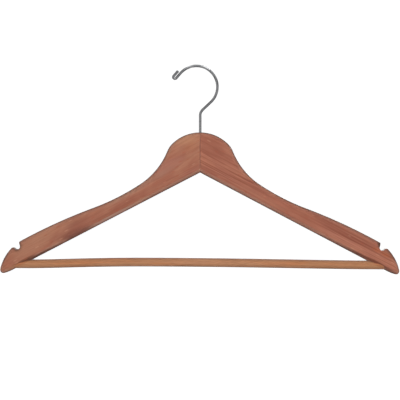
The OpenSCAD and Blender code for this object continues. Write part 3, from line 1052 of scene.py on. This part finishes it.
def turned_brass():
    """Brass with fine turning rings and a slight tarnish."""
    n = Material("turned_brass")
    place = n.place()
    rings = n.node("ShaderNodeTexWave", output=1, settings={"bands_direction": "Z"},
                   Vector=place, Scale=900.0, Distortion=0.6, Detail=2.0)
    tarnish = n.noise(place, 500.0, 4.0, 0.6)
    colour = n.mix(n.ramp(tarnish, 0.4, 0.75), srgb(206, 172, 104), srgb(150, 116, 62))
    n.bare_metal()
    return n.surface(colour, n.ramp(tarnish, 0.3, 0.8, 0.24, 0.42), rings, depth=0.00001, strength=0.5)


def brad_metal():
    """Drawn steel, a little dull, with file-like marks round the head."""
    n = Material("brad_metal")
    place = n.place()
    haze = n.noise(place, 1400.0, 3.0, 0.6)
    marks = n.noise(n.mapped(place, scale=(9000, 700, 9000)), 1.0, 2.0, 0.6)
    colour = n.mix(n.ramp(haze, 0.35, 0.75), srgb(168, 168, 170), srgb(122, 120, 120))
    n.bare_metal()
    return n.surface(colour, n.ramp(haze, 0.3, 0.8, 0.28, 0.46), marks, depth=0.00001, strength=0.5)


# ---- Stage, light and camera ----

# Softboxes aimed at the hanger's middle: (name, place, width and height, watts)
SOFTBOXES = [
    ("front_key", (-0.3, -2.0, 0.3), (1.0, 0.8), 20),
    ("front_fill", (0.4, -2.1, -0.3), (1.0, 0.8), 11),
    ("floor_bounce", (0.0, -1.0, -1.7), (1.4, 0.8), 9),
    ("ceiling_bounce", (0.0, -1.0, 1.6), (1.4, 0.8), 4),
    ("back_key", (0.3, 2.0, 0.3), (1.0, 0.8), 36),
    ("left_side", (-2.1, 0.0, 0.3), (1.0, 0.8), 8),
    ("right_side", (2.1, 0.0, 0.3), (1.0, 0.8), 8),
]
# How bright the air is straight below and straight above
AIR_LOW, AIR_HIGH = 0.22, 0.5
# Flags and reflectors round the hook: (angle in degrees from +X up towards +Z, half width, how
# many times as bright as the air there)
AIR_PANELS = [(20, 17, 0.35), (-160, 17, 0.5), (-24, 10, 0.5), (129, 16, 0.4), (-51, 14, 0.6),
              (108, 8, 2.6), (-72, 8, 2.2), (-118, 14, 1.8), (156, 14, 0.7)]


def make_stage():
    """A round white room: a flat floor well below the hanger that sweeps up into a dome.

    It is seen by the camera only, so the hanger keeps the soft dark edges of a lit object that
    hangs free.
    """
    floor_z, floor_r, wall_r, dome_h = -900, 3000, 6000, 6000
    middle_r = 1
    sides, floor_rings, quarter_steps = 96, 4, 12
    quarter = [math.radians(90 * i / quarter_steps) for i in range(1, quarter_steps + 1)]
    sweep = wall_r - floor_r
    wall_z = floor_z + sweep
    profile = [(middle_r, floor_z)]
    profile += [(floor_r * i / floor_rings, floor_z) for i in range(1, floor_rings + 1)]
    profile += [(floor_r + sweep * math.sin(a), wall_z - sweep * math.cos(a)) for a in quarter]
    profile += [(max(middle_r, wall_r * math.cos(a)), wall_z + dome_h * math.sin(a)) for a in quarter]
    room = loft("pale_room", [level_ring(radius, z, sides) for radius, z in profile])
    room.data.flip_normals()
    room.data.transform(Matrix.Scale(MM, 4))
    room.data.shade_smooth()
    paint = Material("pale_paint")
    paint.bsdf.inputs["Base Color"].default_value = (0.9, 0.9, 0.9, 1)
    paint.bsdf.inputs["Roughness"].default_value = 0.9
    paint.bsdf.inputs["Emission Color"].default_value = (1, 1, 1, 1)
    paint.bsdf.inputs["Emission Strength"].default_value = 1.0
    room.data.materials.append(paint.material)
    room.visible_diffuse = False
    room.visible_glossy = False
    room.visible_transmission = False
    room.visible_shadow = False


def softbox(name, where, aim, size, power, shines=False):
    """A soft rectangular light. Only one that shines shows as a reflection in the metal."""
    light = bpy.data.lights.new(name, "AREA")
    light.shape = "RECTANGLE"
    light.size, light.size_y = size
    light.energy = power
    lamp = bpy.data.objects.new(name, light)
    lamp.location = where
    lamp.rotation_euler = (Vector(aim) - Vector(where)).to_track_quat("-Z", "Y").to_euler()
    lamp.visible_glossy = shines
    bpy.context.scene.collection.objects.link(lamp)


def make_light():
    """Softboxes all round, one glint on the hook, and the air of the studio."""
    middle = (cad_low + cad_high) / 2
    for name, where, size, power in SOFTBOXES:
        softbox(name, where, middle, size, power)
    softbox("hook_glint", (0.5, -0.72, 1.1), (0, 0, -0.02), (0.5, 0.4), 2.6, shines=True)
    make_air()


def make_air():
    """The dim studio round the lights, lighter above than below, with the panels in it."""
    world = bpy.data.worlds.new("studio_air")
    world.use_nodes = True
    n = Nodes(world.node_tree)
    way = n.split(n.node("ShaderNodeTexCoord", "Generated"))
    strength = n.node("ShaderNodeMapRange", Value=way["Z"], From_Min=-1.0, To_Min=AIR_LOW,
                      To_Max=AIR_HIGH)
    angle = n.math("ARCTAN2", way["Z"], way["X"])
    for where, half_width, times in AIR_PANELS:
        off = n.math("ABSOLUTE", n.minus(angle, math.radians(where)))
        panel = n.ramp(off, 0.0, math.radians(half_width), times, 1.0)
        strength = n.times(strength, panel)
    background = n.tree.nodes["Background"]
    n.link(strength, background.inputs["Strength"])
    n.link((1, 1, 1, 1), background.inputs["Color"])
    # The air shows in reflections, and doesn't light the wood
    bpy.context.scene.world = world
    world.cycles_visibility.diffuse = False


def make_camera():
    """Straight on to the front, with the hanger a little above the middle of the picture."""
    lens, sensor = 100, 36
    picture_w = 0.43296
    aim_x, aim_below_middle = 0.00005, 0.0334
    tilt = -0.19
    middle = (cad_low + cad_high) / 2
    aim = Vector((aim_x, 0, middle.z - aim_below_middle))
    data = bpy.data.cameras.new("camera")
    data.lens = lens
    data.sensor_width = sensor
    camera = bpy.data.objects.new("camera", data)
    camera.location = aim + FRONT * picture_w * lens / sensor
    camera.rotation_euler = (math.radians(90), math.radians(tilt), 0)
    bpy.context.scene.collection.objects.link(camera)
    bpy.context.scene.camera = camera
    bpy.context.scene.view_settings.view_transform = "Standard"


make_camera()
make_stage()
make_light()
left_cedar = cedar("left_cedar", LEFT_BOARD)
right_cedar = cedar("right_cedar", RIGHT_BOARD)
make_arms(left_cedar, right_cedar)
make_bar(bar_timber())
make_hook(plated_wire())
brass = turned_brass()
make_collar("swivel_bush", "hanger_frame", 0.3, brass)
make_collar("swivel_washer", "hook", 0.1, brass)
steel = brad_metal()
for brad_node in ("left_bar_brad", "right_bar_brad"):
    make_brad(brad_node, steel)
beech = dowel_timber()
for dowel_node in ("upper_dowel", "lower_dowel"):
    make_dowel(dowel_node, beech)
